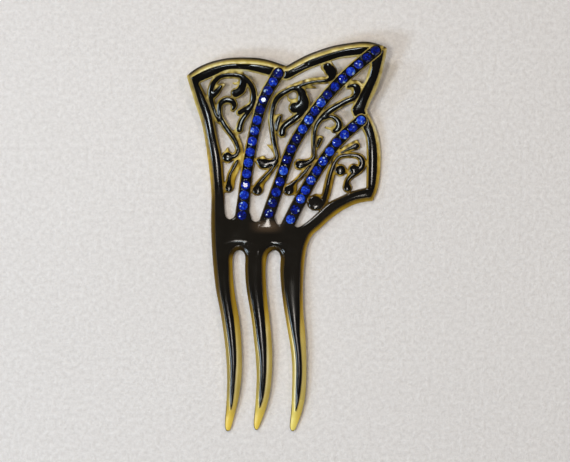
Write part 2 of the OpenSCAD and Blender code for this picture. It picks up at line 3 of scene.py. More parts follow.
import bpy
import numpy as np
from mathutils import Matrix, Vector
from mathutils.geometry import delaunay_2d_cdt


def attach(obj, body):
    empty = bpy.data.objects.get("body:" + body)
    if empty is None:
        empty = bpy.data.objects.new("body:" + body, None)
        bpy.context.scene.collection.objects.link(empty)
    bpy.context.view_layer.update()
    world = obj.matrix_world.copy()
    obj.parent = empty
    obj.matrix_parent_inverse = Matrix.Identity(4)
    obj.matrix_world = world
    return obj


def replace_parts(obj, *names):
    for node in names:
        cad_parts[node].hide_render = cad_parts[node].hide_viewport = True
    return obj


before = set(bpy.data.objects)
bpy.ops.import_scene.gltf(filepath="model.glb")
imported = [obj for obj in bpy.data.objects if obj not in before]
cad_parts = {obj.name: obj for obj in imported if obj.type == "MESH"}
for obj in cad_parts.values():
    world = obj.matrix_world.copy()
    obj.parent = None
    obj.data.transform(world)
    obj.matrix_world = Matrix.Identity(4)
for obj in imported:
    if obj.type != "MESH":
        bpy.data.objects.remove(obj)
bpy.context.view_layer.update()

rng = np.random.default_rng(7)

# Sizes are in mm here and meshes in metres. Plan points are complex numbers, x + y i
MM = 0.001

# The sheet's thickness and the bend of its underside are the CAD part's. The crown's arc touches
# the table at REST_Y, and the prongs' arc comes down to it at TIP_Y
AMBER_T = 2.2
CROWN_R = 155.0
PRONG_R = 400.0
REST_Y = 17.65
TIP_Y = -72.75

# In side view the arcs meet where the sheet leans by LEAN, and the prongs' arc has its centre at
# the y and z of PRONG_CENTRE
BEND_SUM = CROWN_R + PRONG_R
LEAN = (REST_Y - TIP_Y) / (BEND_SUM + np.sqrt(BEND_SUM * PRONG_R))
PRONG_CENTRE = (REST_Y - BEND_SUM * np.sin(LEAN), CROWN_R - BEND_SUM * np.cos(LEAN))

# Heights over the underside: the amber's edge is walled from UNDER_ROUND up to EDGE_H, and the
# black and the stones' ridges each from a foot sunk in the amber up to an edge
UNDER_ROUND = 0.3
EDGE_H = 1.05
BLACK_FOOT_H = AMBER_T - 0.1
BLACK_EDGE_H = AMBER_T + 0.56
RIDGE_FOOT_H = 1.9
RIDGE_EDGE_H = AMBER_T + 0.35

# The stones lie a little lower than in the CAD part, and they fill their seats, where the CAD
# part has a gap. STONE_MEAN_H is the height of the mean of a CAD stone's points over its girdle
GIRDLE_H = 3.3
STONE_H = GIRDLE_H - 0.06
STONE_R = 1.67
STONE_MEAN_H = 0.109
RIDGE_RISE = GIRDLE_H - AMBER_T - 0.42
RIDGE_HALF = 1.84

# Middle of the round end of each slot between the prongs, and the depth of the shoulder that the
# black has round it
SLOT_ENDS = (-17.7 - 7.5j, -3.7 - 8.0j)
SHOULDER = 0.32
# Middle and depth of the hollow below the middle ray, and how far up and down it fades out
HOLLOW_X, HOLLOW_Y, HOLLOW, HOLLOW_FADE = -7.5, 2.6, 0.60, 2.4
# Middle of each flat on the black's upper edge, half its length, and how far before its middle it
# sets in, then the direction in degrees that the flats deepen in, how steeply, and how far
FLATS = ((5.2 + 63.9j, 3.4, 1.0), (-15.7 + 64.3j, 2.8, 0.8))
FLAT_WAY, FLAT_SLOPE, FLAT_REACH = 106.5, 0.36, 1.4

BLACK_NODES = ("black_frame", "black_peak_left", "black_peak_right", "scroll_outer_left",
               "scroll_inner_left", "scroll_inner_right", "scroll_outer_right")
STONE_NODES = ("stones_left", "stones_middle", "stones_right")


def bent(plan, h):
    """Points in metres for plan points at heights h over the underside: on the crown z is the
    lower side of a circle of radius crown_r - h round the crown's centre, on the prongs the upper
    side of one of radius prong_r + h round theirs."""
    y = plan.imag - REST_Y
    crown = CROWN_R - np.sqrt((CROWN_R - h) ** 2 - y ** 2)
    prong = PRONG_CENTRE[1] + np.sqrt((PRONG_R + h) ** 2 - (plan.imag - PRONG_CENTRE[0]) ** 2)
    z = np.where(y > -(CROWN_R - h) * np.sin(LEAN), crown, prong)
    return np.column_stack([plan.real, plan.imag, z]) * MM


def lean_at(y):
    """Angle that the sheet leans by at y."""
    crown = np.arcsin((y - REST_Y) / CROWN_R)
    prong = -np.arcsin((y - PRONG_CENTRE[0]) / PRONG_R)
    return np.where(y > REST_Y - CROWN_R * np.sin(LEAN), crown, prong)


# Side in metres of the cells that make a CAD node's corner points one
CAD_WELD = 2e-6
# Jumps that double this often pass along 32,768 edges of a line
DOUBLINGS = 15
# A line round less than this area, in square mm, is a speck
SPECK = 0.15
# Area of a round stone seat, and how far it may be from it. A circle's area is 0.0796 of the
# square of its length, and a seat's at least ROUNDNESS of it
SEAT_AREA, SEAT_RANGE, ROUNDNESS = 8.8, 0.4, 0.078
# Share of a honeycomb's spacing that its rows lie apart
HONEYCOMB = 0.866


def node_mesh(node):
    """A CAD node's corner points in mm, each once, and its triangles by their numbers."""
    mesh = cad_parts[node].data
    mesh.calc_loop_triangles()
    points = np.empty(3 * len(mesh.vertices))
    mesh.vertices.foreach_get("co", points)
    triangles = np.empty(3 * len(mesh.loop_triangles), int)
    mesh.loop_triangles.foreach_get("vertices", triangles)
    cells = np.round(points.reshape(-1, 3) / CAD_WELD)
    once, number = np.unique(cells, axis=0, return_inverse=True)
    triangles = number.reshape(-1)[triangles].reshape(-1, 3)
    whole = (triangles != np.roll(triangles, 1, axis=1)).all(1)
    return once * (CAD_WELD / MM), triangles[whole]


def open_edges(triangles):
    """The edges that only one triangle has, each in that triangle's direction."""
    edges = np.concatenate([triangles[:, [0, 1]], triangles[:, [1, 2]], triangles[:, [2, 0]]])
    n = triangles.max() + 1
    return edges[~np.isin(edges[:, 0] * n + edges[:, 1], edges[:, 1] * n + edges[:, 0])]


def grouped(order, key):
    """Some numbers in order, parted wherever the key that they are sorted by changes."""
    return np.split(order, np.flatnonzero(np.diff(key[order])) + 1)


def loops_of(edges):
    """The numbers of the edges of each closed line that the edges make, in order along it."""
    # The edge that follows each edge: where lines touch at a point, any edge that starts there
    following = np.empty(len(edges), int)
    following[np.argsort(edges[:, 1])] = np.argsort(edges[:, 0])
    # The lowest edge of each edge's line, and the steps from it to the line's last edge, both by
    # jumps that double
    loop, jump = np.arange(len(edges)), following
    for _ in range(DOUBLINGS):
        loop, jump = np.minimum(loop, loop[jump]), jump[jump]
    last = following == loop
    steps, jump = np.where(last, 0, 1), np.where(last, np.arange(len(edges)), following)
    for _ in range(DOUBLINGS):
        steps, jump = steps + steps[jump], jump[jump]
    return grouped(np.lexsort((-steps, loop)), loop)


def single(plan):
    """Plan points at the single precision that filling keeps, so that walls meet the filled plans
    exactly."""
    return plan.astype(np.complex64).astype(complex)


def evened(line, spacing, blur):
    """A closed line with even spacing between its points and its corners rounded off: its waves
    along the line are weakened by exp(-(2 pi blur / wavelength)^4)."""
    ahead = np.abs(np.roll(line, -1) - line)
    length = ahead.sum()
    n = max(8, int(round(length / spacing)))
    at = np.arange(n) * length / n
    along = np.concatenate([[0], np.cumsum(ahead)])
    line = np.append(line, line[0])
    line = np.interp(at, along, line.real) + 1j * np.interp(at, along, line.imag)
    wave = np.fft.fftfreq(n, length / n)
    return single(np.fft.ifft(np.fft.fft(line) * np.exp(-(2 * np.pi * wave * blur) ** 4)))


def closed_lines(node, spacing, blur):
    """The closed lines round the underside of a CAD node, evened. The material lies to the right
    of each. Round stone seats are left out."""
    points, triangles = node_mesh(node)
    a, b, c = points[triangles].transpose(1, 0, 2)
    normal = np.cross(b - a, c - a)
    faces_down = normal[:, 2] < -0.5 * np.linalg.norm(normal, axis=1)
    edges = open_edges(triangles[faces_down])
    lines = []
    for loop in loops_of(edges):
        start = points[edges[loop, 0]]
        line = start[:, 0] + 1j * start[:, 1]
        length = np.abs(np.roll(line, -1) - line).sum()
        area = abs((line.conj() * np.roll(line, -1)).imag.sum()) / 2
        seat = area > ROUNDNESS * length ** 2 and abs(area - SEAT_AREA) < SEAT_RANGE
        if area >= SPECK and not seat:
            lines.append(evened(line, spacing, blur))
    return lines


def pieces_of(lines):
    """Start and end of every straight piece of some closed lines."""
    return np.concatenate(lines), np.concatenate([np.roll(z, -1) for z in lines])


def next_along(lines):
    """For every point of some closed lines, the number of the next point along its line."""
    starts = np.cumsum([0] + [len(z) for z in lines])
    return np.concatenate([np.roll(np.arange(s, e), -1) for s, e in zip(starts, starts[1:])])


def distance(points, lines, reach=3.0):
    """Distance of plan points from the nearest piece of some lines, at most reach: that of the
    nearest point of the piece, whose share along it is clipped to 0 and 1. The points are taken in
    square blocks of side reach, each with only the pieces whose middles are near its own."""
    a, b = pieces_of(lines)
    out = np.full(len(points), reach)
    cell = np.floor(points.real / reach) + 1j * np.floor(points.imag / reach)
    for part in grouped(np.argsort(cell), cell):
        mid = cell[part[0]] * reach + (1 + 1j) * reach / 2
        off = (a + b) / 2 - mid
        # A reach and a half takes in the block and what lies within reach of it, and the rest is
        # for the pieces' own length
        near = np.maximum(abs(off.real), abs(off.imag)) < 1.7 * reach
        if near.any():
            p, s, d = points[part][:, None], a[near], (b - a)[near]
            t = np.clip(((p - s) * d.conj()).real / abs(d) ** 2, 0, 1)
            out[part] = np.minimum(reach, abs(p - s - t * d).min(1))
    return out


def inside(points, lines):
    """Whether plan points lie inside some closed lines: those with an odd number of crossings to
    their right. The points are taken in rows 1 mm high."""
    a, b = pieces_of(lines)
    out = np.zeros(len(points), bool)
    row = np.floor(points.imag)
    for part in grouped(np.argsort(row), row):
        y = row[part[0]]
        near = (np.minimum(a.imag, b.imag) < y + 1) & (np.maximum(a.imag, b.imag) >= y)
        p, s, e = points[part][:, None], a[near], b[near]
        spans = (s.imag > p.imag) != (e.imag > p.imag)
        rise = np.where(e.imag == s.imag, 1, e.imag - s.imag)
        x = s.real + (p.imag - s.imag) / rise * (e.real - s.real)
        out[part] = (spans & (x > p.real)).sum(1) % 2 == 1
    return out


def filled(lines, rings, grid):
    """Plan points and triangles that fill the shape between closed lines: the lines' own points,
    rows of points set in from them by each of the rings, and a honeycomb of points with the given
    spacing between."""
    edge = np.concatenate(lines)
    ahead = [np.roll(z, -1) - np.roll(z, 1) for z in lines]
    inward = np.concatenate([-1j * d / abs(d) for d in ahead])
    points = [edge]
    # Where the shape is narrow, points that come too near another line are left out
    for ring in rings:
        row = edge + ring * inward
        points.append(row[distance(row, lines) > 0.8 * ring])
    x = np.arange(edge.real.min(), edge.real.max(), grid)
    y = np.arange(edge.imag.min(), edge.imag.max(), grid * HONEYCOMB)
    comb = (x[None] + (np.arange(len(y)) % 2 * grid / 2)[:, None] + 1j * y[:, None]).ravel()
    comb = comb[inside(comb, lines)]
    last = rings[-1] if rings else 0
    points.append(comb[distance(comb, lines) > last + 0.5 * grid])
    points = np.concatenate(points)
    edges = np.column_stack([np.arange(len(edge)), next_along(lines)])
    out = delaunay_2d_cdt(list(map(Vector, np.column_stack([points.real, points.imag]).tolist())),
                          edges.tolist(), [], 0, 1e-5, False)
    xy = np.array(out[0])
    plan, triangles = xy[:, 0] + 1j * xy[:, 1], np.array(out[2])
    return plan, triangles[inside(plan[triangles].mean(1), lines)]


def dome(plan, triangles, reach):
    """A smooth rise from the edge of a filled plan, 0 there and 1 far inside: the u for which
    u - reach^2 * laplacian(u) = 1, solved on the triangles with cotangent weights by conjugate
    gradients."""
    most_rounds, small_enough = 300, 1e-12
    n = len(plan)
    p, q, r = plan[triangles].T
    area = abs(((q - p).conj() * (r - p)).imag) / 2
    mass = np.bincount(triangles.ravel(), np.repeat(area / 3, 3), n)
    i = triangles.ravel()
    j = np.roll(triangles, -1, axis=1).ravel()
    k = np.roll(triangles, -2, axis=1).ravel()
    # The side from i to j faces the corner k
    u, v = plan[i] - plan[k], plan[j] - plan[k]
    w = reach ** 2 * 0.5 * (u * v.conj()).real / np.maximum(abs((u * v.conj()).imag), 1e-6)
    diagonal = mass + np.bincount(i, w, n) + np.bincount(j, w, n)
    free = np.ones(n, bool)
    free[open_edges(triangles)] = False

    def times(x):
        return (diagonal * x - np.bincount(i, w * x[j], n) - np.bincount(j, w * x[i], n)) * free

    x = np.zeros(n)
    rest = mass * free
    step = rest / diagonal
    size = (rest * step).sum()
    for _ in range(most_rounds):
        push = times(step)
        a = size / (step * push).sum()
        x += a * step
        rest = rest - a * push
        next_size = (rest * rest / diagonal).sum()
        if next_size < small_enough * mass.sum():
            break
        step = rest / diagonal + next_size / size * step
        size = next_size
    return x


def walls(lines, high, low):
    """Four-sided faces down the edge of a plan, between two heights: plan points, heights and
    faces."""
    plan = np.concatenate(lines)
    n = len(plan)
    here, ahead = np.arange(n), next_along(lines)
    # The material lies to the right of the lines, so that a face seen from outside runs this way
    faces = np.column_stack([here, ahead, ahead + n, here + n])
    return np.concatenate([plan, plan]), np.repeat([high, low], n), faces


def joined(top, low, side):
    """A top, an underside and walls, each given as plan points, heights and faces, as one bent
    surface: plan points, points in metres, and faces of three and of four corners. The faces of
    the underside are given facing up, and turned over."""
    plan = np.concatenate([top[0], low[0], side[0]])
    h = np.concatenate([top[1], low[1], side[1]])
    flat = np.concatenate([top[2], low[2][:, ::-1] + len(top[0])])
    return plan, bent(plan, h), [flat, side[2] + len(top[0]) + len(low[0])]


def welded(points, faces):
    """Points in metres that fall together made one, the faces' numbers to suit, and the number
    that each point left had before."""
    _, first, number = np.unique(np.round(points / 1e-7), axis=0, return_index=True,
                                 return_inverse=True)
    return points[first], [number.reshape(-1)[f] for f in faces], first


def piece(name, points, faces, materials, material_of=None, smooth=None, attributes=None,
          domain="POINT"):
    """A Blender object from points in metres and a list of face arrays, which each have their own
    number of corners, riding on the fork's one body."""
    mesh = bpy.data.meshes.new(name)
    corners = np.concatenate([f.ravel() for f in faces])
    sizes = np.concatenate([np.full(len(f), f.shape[1]) for f in faces])
    mesh.vertices.add(len(points))
    mesh.vertices.foreach_set("co", points.ravel())
    mesh.loops.add(len(corners))
    mesh.loops.foreach_set("vertex_index", corners.astype(np.int32))
    mesh.polygons.add(len(sizes))
    mesh.polygons.foreach_set("loop_start", (np.cumsum(sizes) - sizes).astype(np.int32))
    for material in materials:
        mesh.materials.append(material)
    if material_of is not None:
        mesh.polygons.foreach_set("material_index", material_of.astype(np.int32))
    smooth = np.ones(len(sizes), bool) if smooth is None else smooth
    mesh.polygons.foreach_set("use_smooth", smooth)
    for key, values in (attributes or {}).items():
        attribute = mesh.attributes.new(key, "FLOAT", domain)
        attribute.data.foreach_set("value", values.astype(np.float32))
    mesh.update(calc_edges=True)
    mesh.validate()
    thing = bpy.data.objects.new(name, mesh)
    bpy.context.scene.collection.objects.link(thing)
    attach(thing, "root")
    return thing


class Value:
    """A node's output. Arithmetic on it adds Math nodes."""

    def __init__(self, finish, socket):
        self.finish, self.socket = finish, socket

    def math(self, operation, *others):
        return self.finish.node("ShaderNodeMath", {"operation": operation},
                                dict(enumerate(others)))

    def __add__(self, other):
        return self.math("ADD", self, other)

    def __sub__(self, other):
        return self.math("SUBTRACT", self, other)

    def __rsub__(self, other):
        return self.math("SUBTRACT", other, self)

    def __mul__(self, other):
        return self.math("MULTIPLY", self, other)

    __radd__, __rmul__ = __add__, __mul__

    def between(self, low, high):
        """0 below low, 1 above high, and smooth between them."""
        return self.finish.node("ShaderNodeMapRange", {"interpolation_type": "SMOOTHSTEP"},
                                {"Value": self, "From Min": low, "From Max": high})


class Finish:
    """A material with a Principled shader, whose constants are given by its sockets' names."""

    def __init__(self, name, **constants):
        self.material = bpy.data.materials.new(name)
        self.material.use_nodes = True
        self.nodes = self.material.node_tree.nodes
        self.links = self.material.node_tree.links
        self.shader = self.nodes["Principled BSDF"]
        for key, value in constants.items():
            self.shader.inputs[key.replace("_", " ")].default_value = value

    def node(self, kind, settings, inputs, output=0):
        """A new node's output: its settings are set first, then its sockets get their values or
        links."""
        node = self.nodes.new(kind)
        for key, value in settings.items():
            if key == "stops":
                ramp = node.color_ramp
                while len(ramp.elements) < len(value):
                    ramp.elements.new(0.5)
                for element, (place, colour) in zip(ramp.elements, value):
                    element.position, element.color = place, (*colour, 1)
            else:
                setattr(node, key, value)
        for key, value in inputs.items():
            if isinstance(value, Value):
                self.links.new(value.socket, node.inputs[key])
            else:
                node.inputs[key].default_value = value
        return Value(self, node.outputs[output])

    def place(self):
        return self.node("ShaderNodeTexCoord", {}, {}, "Object")

    def coordinate(self, axis):
        """The Object coordinate x, y or z in metres, for axis 0, 1 or 2."""
        return self.node("ShaderNodeSeparateXYZ", {}, {"Vector": self.place()}, axis)

    def attribute(self, name):
        return self.node("ShaderNodeAttribute", {"attribute_name": name}, {}, "Fac")

    def noise(self, scale, detail=2.0, stretch=None, rough=0.5):
        """Noise on Object coordinates, in lumps of about 1 / scale metres, stretched if asked."""
        where = self.place()
        if stretch:
            where = self.node("ShaderNodeMapping", {}, {"Vector": where, "Scale": stretch})
        return self.node("ShaderNodeTexNoise", {}, {"Vector": where, "Scale": scale,
                                                    "Detail": detail, "Roughness": rough})

    def shades(self, value, stops):
        """The colour for a value between 0 and 1, by places and their colours."""
        return self.node("ShaderNodeValToRGB", {"stops": stops}, {"Fac": value})

    def mix(self, factor, a, b, blend="MIX"):
        """A colour between two colours. A colour Mix node has its factor in socket 0, its colours
        in sockets 6 and 7, and its result in output 2."""
        a, b = (c if isinstance(c, Value) else (*c, 1) for c in (a, b))
        return self.node("ShaderNodeMix", {"data_type": "RGBA", "blend_type": blend},
                         {0: factor, 6: a, 7: b}, 2)

    def feed(self, key, value):
        self.links.new(value.socket, self.shader.inputs[key])

    def bump(self, height, strength, depth):
        """Bumps of the given depth in metres into the shader's Normal."""
        self.feed("Normal", self.node("ShaderNodeBump", {}, {"Strength": strength,
                                                             "Distance": depth, "Height": height}))


def amber_finish():
    """Translucent amber sheet. Its colour carries painted light and shade from an attribute: how
    light the sheet looks at a point, from dark brown through gold to cream; streaks and clouds vary
    it. It is browner beside the body, a painted shade, and a light clear yellow at the tips,
    painted light for the paper's light coming through the thin amber."""
    f = Finish("amber_sheet", IOR=1.5, Transmission_Weight=0.08, Coat_Roughness=0.06)
    y = f.coordinate(1)
    tips = 1 - y.between(-0.071, -0.056)
    body = (1 - y.between(0.022, 0.044)) * y.between(-0.046, -0.022)
    crown = y.between(0.014, 0.024)
    streaks = f.noise(170, 4, (1, 0.3, 1)).between(0.3, 0.7)
    clouds = f.noise(330, 2).between(0.35, 0.65)
    light = f.attribute("glow")
    glow = light * (0.82 + 0.3 * streaks) * (1 + crown * (clouds * 0.3 - 0.15))
    gold = f.shades(glow, (
        (0.0, (0.010, 0.006, 0.002)), (0.12, (0.12, 0.078, 0.018)), (0.30, (0.33, 0.23, 0.042)),
        (0.50, (0.54, 0.395, 0.082)), (0.70, (0.75, 0.59, 0.18)), (1.0, (1.0, 0.90, 0.55))))
    # Painted shade: browner beside the body
    gold = f.mix(body, gold, f.mix(1.0, gold, (1.0, 0.85, 0.32), "MULTIPLY"))
    # Painted light: a light clear yellow at the tips for the paper's light through the thin amber,
    # dark brown where the painted light is low
    painted_tip_light = f.mix(streaks, (1.0, 0.71, 0.10), (1.0, 0.82, 0.18))
    painted_tip_light = f.mix(light.between(0.05, 0.45), (0.10, 0.045, 0.010), painted_tip_light)
    f.feed("Base Color", f.mix(tips, gold, painted_tip_light))
    f.feed("Roughness", 0.18 + 0.20 * tips + 0.18 * crown + 0.06 * clouds)
    f.feed("Coat Weight", 0.15 - 0.15 * tips - 0.09 * crown)
    f.bump(f.noise(900, 3), 0.15, 0.00005)
    return f.material


def black_finish():
    """Polished black sheet with faint smears and fine scratches. It is a little warmer and lighter
    on the body, a painted sheen, and brown round the hollow, a painted warm glow about the
    highlight there; it is duller on the prongs."""
    f = Finish("black_sheet", IOR=1.5, Coat_Weight=0.2, Coat_Roughness=0.04)
    smears = f.noise(140, 3)
    scratches = f.noise(1400, 2, (1, 0.12, 1))
    y = f.coordinate(1)
    worn = 1 - y.between(-0.03, 0.0)
    # Painted sheen: a warmer, lighter black on the body
    body = (1 - y.between(0.010, 0.022)) * y.between(-0.032, -0.014)
    colour = f.mix(body, f.mix(smears, (0.0012, 0.0010, 0.0008), (0.003, 0.0024, 0.002)),
                   f.mix(smears, (0.006, 0.0045, 0.003), (0.012, 0.0095, 0.0065)))
    x = f.coordinate(0)
    # Painted sheen: a warm brown patch round the hollow
    painted_sheen_patch = (x.between(-0.0150, -0.0080) * (1 - x.between(-0.0070, 0.0))
            * y.between(0.0008, 0.0038) * (1 - y.between(0.0048, 0.0068)))
    f.feed("Base Color", f.mix(painted_sheen_patch, colour, (0.070, 0.044, 0.025)))
    f.feed("Roughness", 0.08 + 0.03 * worn + 0.08 * smears.between(0.40, 0.70)
           + 0.04 * scratches.between(0.55, 0.7))
    f.bump(f.noise(350, 3) + 0.4 * scratches, 0.10, 0.00004)
    return f.material


def glass_finish():
    """Royal blue paste. The attribute tone is painted light: how bright each facet looks, from navy
    to the pale blue of a painted sparkle, for the light that the cut and the foil behind it throw
    about."""
    f = Finish("blue_glass", Roughness=0.02, IOR=1.58, Transmission_Weight=0.25)
    tone = f.attribute("tone") + 0.10 * (f.noise(1500, 2) - 0.5)
    f.feed("Base Color", f.shades(tone, (
        (0.0, (0.002, 0.004, 0.05)), (0.30, (0.004, 0.012, 0.22)), (0.55, (0.008, 0.035, 0.62)),
        (0.80, (0.03, 0.13, 1.0)), (0.92, (0.12, 0.32, 1.0)), (1.0, (0.60, 0.80, 1.0)))))
    return f.material


def foil_finish():
    """Bright crumpled foil behind a stone."""
    f = Finish("stone_foil", Metallic=1.0)
    wear = f.noise(700, 2)
    f.feed("Base Color", f.mix(wear.between(0.4, 0.7), (0.85, 0.90, 1.0), (0.5, 0.6, 0.95)))
    f.feed("Roughness", 0.25 + 0.25 * wear)
    return f.material


def paper_finish():
    """Pale felt-like paper with faint fibres."""
    f = Finish("pale_paper", Roughness=0.9)
    fibres = f.noise(620, 5, None, 0.7)
    clouds = f.noise(14, 2)
    f.feed("Base Color", f.mix(0.2 * clouds + 0.8 * fibres.between(0.2, 0.8),
                               (0.71, 0.665, 0.65), (0.94, 0.895, 0.885)))
    f.bump(fibres, 0.8, 0.0006)
    return f.material


amber = amber_finish()
black = black_finish()
glass = glass_finish()
foil = foil_finish()

amber_lines = closed_lines("amber_base", spacing=0.35, blur=0.3)
amber_outline = max(amber_lines, key=len)
black_lines = {node: closed_lines(node, spacing=0.3, blur=0.25) for node in BLACK_NODES}
scrolls = [line for node in BLACK_NODES if "scroll" in node for line in black_lines[node]]
bands = [line for node in BLACK_NODES if "scroll" not in node for line in black_lines[node]]
all_black = bands + scrolls


def from_black(plan):
    """Distance of plan points from the nearest black piece, 0 under one."""
    return np.where(inside(plan, all_black), 0, distance(plan, all_black))


def ramp(values, start, end):
    """0 up to start, 1 from end on, and straight between them. Where start is above end, it is 0
    above start and 1 below end."""
    return np.clip((values - start) / (end - start), 0, 1)


def blend(a, b, share):
    """a where the share is 0, b where it is 1, and in proportion between."""
    return a + share * (b - a)


def waves(plan, length):
    """A smooth field that wanders between about -1 and 1 over the plan: six plane waves of about
    the given length, each with its own direction and phase, added up."""
    draw = np.random.default_rng(int(10 * length))
    way, phase = np.exp(2j * np.pi * draw.random(6)), 2 * np.pi * draw.random(6)
    size = length * draw.uniform(0.7, 1.4, 6)
    return np.sin(2 * np.pi * (plan[:, None] * way).real / size + phase).sum(1) / 2.4


def amber_painted_glow(plan):
    """How light the amber is painted at plan points: painted light and shade for the light that
    passes through the sheet, lighter on some sides of the black than on others. It depends on the
    way from the nearest black piece to the point, right and up, on whether that piece is a band or
    a scroll, and on the distance to the fork's outline."""
    black, outline = from_black(plan), distance(plan, [amber_outline])
    step = 0.1
    right = (from_black(plan + step) - from_black(plan - step)) / (2 * step)
    up = (from_black(plan + 1j * step) - from_black(plan - 1j * step)) / (2 * step)
    x, y = plan.real, plan.imag
    # The crown's inner rims, with painted light and shade: darker above the black, and lighter on
    # the upper left of the rays
    glow = 0.42 - 0.40 * up - 0.06 * right
    glow = glow + 0.42 * ramp(right, -0.3, -0.7) * ramp(up, 0, 0.5) * ramp(y, 36, 50)
    # Its scrolls' rims, then a painted shade along the amber's edges on the right of the black
    line = 0.42 + 0.03 * up + 0.05 * right + 0.18 * ramp(black, 0.25, 0.7)
    line = line * (1 + 0.5 * waves(plan, 3.5))
    scroll = ramp(distance(plan, bands) - distance(plan, scrolls), -0.2, 0.2)
    glow = blend(glow, line, scroll)
    shade = ramp(distance(plan, amber_lines), 0.36, 0.12) * ramp(right + 0.3 * up, -0.4, 0.4)
    glow = glow * (1 - 0.85 * shade)
    # The rim along the outline, with painted light and shade: lighter to the right of the black,
    # and darker at the very edge where it faces up, a painted shade
    away, edge = ramp(right, -0.6, 0.6), ramp(outline, 0.9, 0.3)
    rim = 0.22 + 0.46 * away + 0.25 * ramp(up, -0.4, -0.8) + (0.34 - 0.20 * away) * edge
    top = 0.25 + 0.64 * ramp(outline, 1.1, 1.9) - 0.24 * ramp(outline, 1.0, 0.5)
    glow = blend(glow, blend(rim, top, ramp(up, 0.4, 0.8)), ramp(outline, 3.0, 2.6))
    # The body's sides, painted shade: brown on the left and by the black, lighter on the right
    body = 0.05 + (0.08 + 0.38 * ramp(right, -0.5, 0.5)) * ramp(black, 0.1, 1.3)
    glow = blend(glow, body, ramp(y, 24, 12))
    # The prongs, with a painted cream line of light beside the black cores, and a painted shade on
    # the left of the first
    side = np.where(x > -4 + 0.05 * y, -right, right)
    painted_cream_line = ramp(black, 1.0, 0.35) * ramp(side, 0, 0.7) * ramp(y, -26, -42)
    prong = (0.46 + 0.19 * ramp(right, -0.5, 0.5) - 0.18 * ramp(x, -20, -24) * ramp(right, 0, -0.5)
             + 0.36 * painted_cream_line)
    glow = blend(glow, prong, ramp(y, -20, -34))
    # It is dark where the slots end, a painted shade
    for end in SLOT_ENDS:
        glow = glow * (1 - 0.88 * ramp(abs(plan - end), 5.5, 3.5) * ramp(y, -9, -6))
    # A painted dark line of shade round the lower left of each tip, where a short step that way
    # leads off the sheet
    off = ~inside(plan - 0.28 - 0.26j, amber_lines) & (outline < 0.3)
    return glow * (1 - ramp(y, -61, -65) * off)


def amber_sheet():
    """The sheet's top slopes from a low edge up to the black: with share for the distance to the
    edge over the distances to the edge and to the black added up, it rises by
    1 - (1 - share)^1.8 of the way. Its underside is rounded at the edge by a quarter circle."""
    top, top_faces = filled(amber_lines, rings=(0.14, 0.34, 0.6), grid=0.5)
    edge = distance(top, amber_lines)
    share = edge / np.maximum(edge + from_black(top), 1e-6)
    top_h = EDGE_H + (AMBER_T - EDGE_H) * (1 - (1 - share) ** 1.8)
    low, low_faces = filled(amber_lines, rings=(0.12, UNDER_ROUND), grid=1.5)
    inset = 1 - np.minimum(distance(low, amber_lines) / UNDER_ROUND, 1)
    low_h = UNDER_ROUND * (1 - np.sqrt(1 - inset ** 2))
    plan, points, faces = joined((top, top_h, top_faces), (low, low_h, low_faces),
                                 walls(amber_lines, EDGE_H, UNDER_ROUND))
    points, faces, first = welded(points, faces)
    sheet = piece("amber_sheet", points, faces, [amber],
                  attributes={"glow": amber_painted_glow(plan[first])})
    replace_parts(sheet, "amber_base")


def eased(amount, share):
    """An amount that sets in and ends smoothly with a share from 0 to 1: amount * share^2 *
    (3 - 2 share)."""
    return amount * share ** 2 * (3 - 2 * share)


def dents(plan):
    """Depth of the black's dents: a shoulder round the end of each slot, a hollow below the middle
    ray that narrows upwards and is deepest halfway up, and the flats cut on the upper edge, which
    slope down all one way."""
    x, y = plan.real, plan.imag
    depth = 0.0
    for end in SLOT_ENDS:
        off = plan - end
        around = abs(off - np.clip(off.real, -1.3, 1.3))
        depth = depth + eased(SHOULDER, ramp(around, 6.4, 4.4)) * ramp(y, -11, -6)
    half = 4.8 + 0.6 * (7.4 - y)
    across = ramp(half - abs(x - HOLLOW_X), 0, 4)
    fade = np.exp(-0.5 * ((y - HOLLOW_Y) / HOLLOW_FADE) ** 2)
    depth = depth + eased(HOLLOW, across) * fade
    for place, half, before in FLATS:
        off = (plan - place) * np.exp(-1j * np.radians(FLAT_WAY))
        within = ramp(half - abs(off.imag), 0, 0.6)
        depth = depth + FLAT_SLOPE * np.clip(off.real + before, 0, FLAT_REACH) * within
    return depth


def black_piece(node, name):
    """A black piece: its top rises steeply from its edge and then gently towards its middle, by
    two domes, more on the prongs than on the crown. Its rise wanders a little, and it is dented."""
    lines = black_lines[node]
    top, top_faces = filled(lines, rings=(0.1, 0.24, 0.42), grid=0.42)
    steep, gentle = (dome(top, top_faces, reach) for reach in (0.4, 1.2))
    on_prongs = ramp(top.imag, 0, -15)
    steep_h, gentle_h = 0.10 + 0.08 * on_prongs, 0.28 + 0.14 * on_prongs
    top_h = BLACK_EDGE_H + steep_h * steep * (2 - steep) + gentle_h * gentle
    uneven = 0.05 * waves(top, 5.0) if "scroll" in node else 0.04 * waves(top, 22.0)
    top_h = top_h + uneven * gentle * ramp(top.imag, 8, 16) - dents(top)
    low, low_faces = filled(lines, rings=(), grid=1.5)
    low_h = np.full(len(low), BLACK_FOOT_H)
    side, side_h, side_faces = walls(lines, BLACK_EDGE_H, BLACK_FOOT_H)
    side_h = np.where(side_h == BLACK_EDGE_H, BLACK_EDGE_H - dents(side), side_h)
    _, points, faces = joined((top, top_h, top_faces), (low, low_h, low_faces),
                              (side, side_h, side_faces))
    points, faces, _ = welded(points, faces)
    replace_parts(piece(name, points, faces, [black]), node)


amber_sheet()
for node in BLACK_NODES:
    black_piece(node, node.replace("black_frame", "black_bands") + "_carved")


# Painted light of the stones: tones that the stones have, how far their facets' tones spread from
# it, the share of facets that get a painted sparkle with tone 1, and the lightest tone of the rest
STONE_TONES = (0.20, 0.38, 0.52, 0.64)
FACET_SPREAD = 0.17
SPARKLE_SHARE = 0.035
DULL_MOST = 0.88


